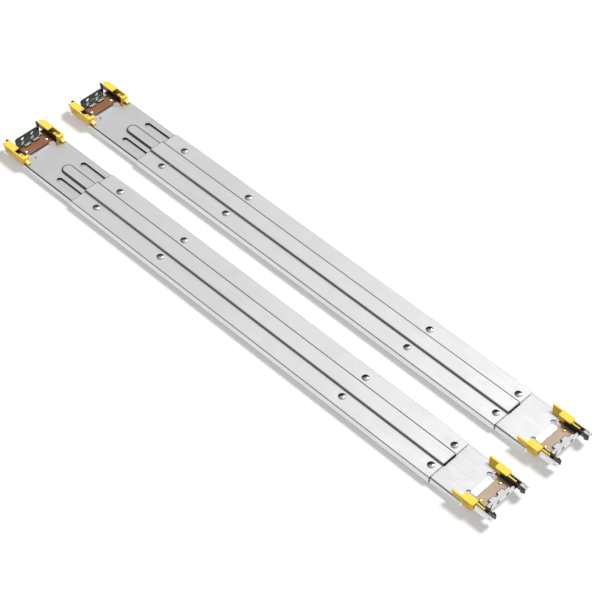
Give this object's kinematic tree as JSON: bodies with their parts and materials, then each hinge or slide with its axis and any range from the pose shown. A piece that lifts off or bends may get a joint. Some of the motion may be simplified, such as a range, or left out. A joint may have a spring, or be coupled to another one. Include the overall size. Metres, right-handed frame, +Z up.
{
  "type": "sliding server rail pair",
  "caption": "Pair of flat adjustable rack rails: riveted cover over a sliding rear member, with sprung hook latches and tapped end flanges at both ends.",
  "frame": {"origin": "bottom centre of the box round the two rails, on the surface they lie on", "axes": "+X along the rails towards the front brackets, +Y across from the near rail to the far rail, +Z up out of the covers' faces"},
  "size_m": [0.6632, 0.1436, 0.0152],
  "materials": {
    "member_steel": "satin zinc-plated sheet",
    "cover_steel": "satin zinc-plated sheet",
    "rivet_steel": "bright plated",
    "base_plating": "warm passivated plating",
    "flange_steel": "bright plated",
    "wall_steel": "bright plated",
    "hook_steel": "black oxide",
    "latch_plastic": "moulded yellow",
    "spring_steel": "spring wire"
  },
  "bodies": {
    "rail_fronts": {"near_front_member": "member_steel", "near_cover": "cover_steel", "near_cover_rivets": "rivet_steel", "near_front_bracket_base": "base_plating", "near_front_end_flange": "flange_steel", "near_front_base_rivets": "rivet_steel", "near_front_pivot_pins": "rivet_steel", "near_front_latch_springs": "spring_steel", "near_front_upper_prong_wall": "wall_steel", "near_front_lower_prong_wall": "wall_steel", "far_front_member": "member_steel", "far_cover": "cover_steel", "far_cover_rivets": "rivet_steel", "far_front_bracket_base": "base_plating", "far_front_end_flange": "flange_steel", "far_front_base_rivets": "rivet_steel", "far_front_pivot_pins": "rivet_steel", "far_front_latch_springs": "spring_steel", "far_front_upper_prong_wall": "wall_steel", "far_front_lower_prong_wall": "wall_steel"},
    "near_rear": {"near_rear_member": "member_steel", "near_rear_bracket_base": "base_plating", "near_rear_end_flange": "flange_steel", "near_rear_base_rivets": "rivet_steel", "near_rear_pivot_pins": "rivet_steel", "near_rear_latch_springs": "spring_steel", "near_rear_upper_prong_wall": "wall_steel", "near_rear_lower_prong_wall": "wall_steel"},
    "near_front_upper_catch": {"near_front_upper_latch": "latch_plastic", "near_front_upper_hook_arm": "hook_steel"},
    "near_front_lower_catch": {"near_front_lower_latch": "latch_plastic", "near_front_lower_hook_arm": "hook_steel"},
    "near_rear_upper_catch": {"near_rear_upper_latch": "latch_plastic", "near_rear_upper_hook_arm": "hook_steel"},
    "near_rear_lower_catch": {"near_rear_lower_latch": "latch_plastic", "near_rear_lower_hook_arm": "hook_steel"},
    "far_rear": {"far_rear_member": "member_steel", "far_rear_bracket_base": "base_plating", "far_rear_end_flange": "flange_steel", "far_rear_base_rivets": "rivet_steel", "far_rear_pivot_pins": "rivet_steel", "far_rear_latch_springs": "spring_steel", "far_rear_upper_prong_wall": "wall_steel", "far_rear_lower_prong_wall": "wall_steel"},
    "far_front_upper_catch": {"far_front_upper_latch": "latch_plastic", "far_front_upper_hook_arm": "hook_steel"},
    "far_front_lower_catch": {"far_front_lower_latch": "latch_plastic", "far_front_lower_hook_arm": "hook_steel"},
    "far_rear_upper_catch": {"far_rear_upper_latch": "latch_plastic", "far_rear_upper_hook_arm": "hook_steel"},
    "far_rear_lower_catch": {"far_rear_lower_latch": "latch_plastic", "far_rear_lower_hook_arm": "hook_steel"}
  },
  "joints": [
    {"name": "near_length_slide", "type": "slide", "parent": "rail_fronts", "child": "near_rear", "axis": [-1, 0, 0], "range_m": [-0.036, 0.16]},
    {"name": "near_front_upper_release", "type": "hinge", "parent": "rail_fronts", "child": "near_front_upper_catch", "pos_m": [0.30105, -0.02032, 0.01], "axis": [0, 0, 1], "range_deg": [0, 5], "stiffness_Nm_per_rad": 0.3, "springref_deg": -8.59},
    {"name": "near_front_lower_release", "type": "hinge", "parent": "rail_fronts", "child": "near_front_lower_catch", "pos_m": [0.30105, -0.06667, 0.01], "axis": [0, 0, -1], "range_deg": [0, 5], "stiffness_Nm_per_rad": 0.3, "springref_deg": -8.59},
    {"name": "near_rear_upper_release", "type": "hinge", "parent": "near_rear", "child": "near_rear_upper_catch", "pos_m": [-0.30305, -0.02032, 0.0097], "axis": [0, 0, -1], "range_deg": [0, 5], "stiffness_Nm_per_rad": 0.3, "springref_deg": -8.59},
    {"name": "near_rear_lower_release", "type": "hinge", "parent": "near_rear", "child": "near_rear_lower_catch", "pos_m": [-0.30305, -0.06667, 0.0097], "axis": [0, 0, 1], "range_deg": [0, 5], "stiffness_Nm_per_rad": 0.3, "springref_deg": -8.59},
    {"name": "far_length_slide", "type": "slide", "parent": "rail_fronts", "child": "far_rear", "axis": [-1, 0, 0], "range_m": [-0.036, 0.16]},
    {"name": "far_front_upper_release", "type": "hinge", "parent": "rail_fronts", "child": "far_front_upper_catch", "pos_m": [0.30305, 0.06667, 0.01], "axis": [0, 0, 1], "range_deg": [0, 5], "stiffness_Nm_per_rad": 0.3, "springref_deg": -8.59},
    {"name": "far_front_lower_release", "type": "hinge", "parent": "rail_fronts", "child": "far_front_lower_catch", "pos_m": [0.30305, 0.02032, 0.01], "axis": [0, 0, -1], "range_deg": [0, 5], "stiffness_Nm_per_rad": 0.3, "springref_deg": -8.59},
    {"name": "far_rear_upper_release", "type": "hinge", "parent": "far_rear", "child": "far_rear_upper_catch", "pos_m": [-0.30105, 0.06667, 0.0097], "axis": [0, 0, -1], "range_deg": [0, 5], "stiffness_Nm_per_rad": 0.3, "springref_deg": -8.59},
    {"name": "far_rear_lower_release", "type": "hinge", "parent": "far_rear", "child": "far_rear_lower_catch", "pos_m": [-0.30105, 0.02032, 0.0097], "axis": [0, 0, 1], "range_deg": [0, 5], "stiffness_Nm_per_rad": 0.3, "springref_deg": -8.59}
  ]
}
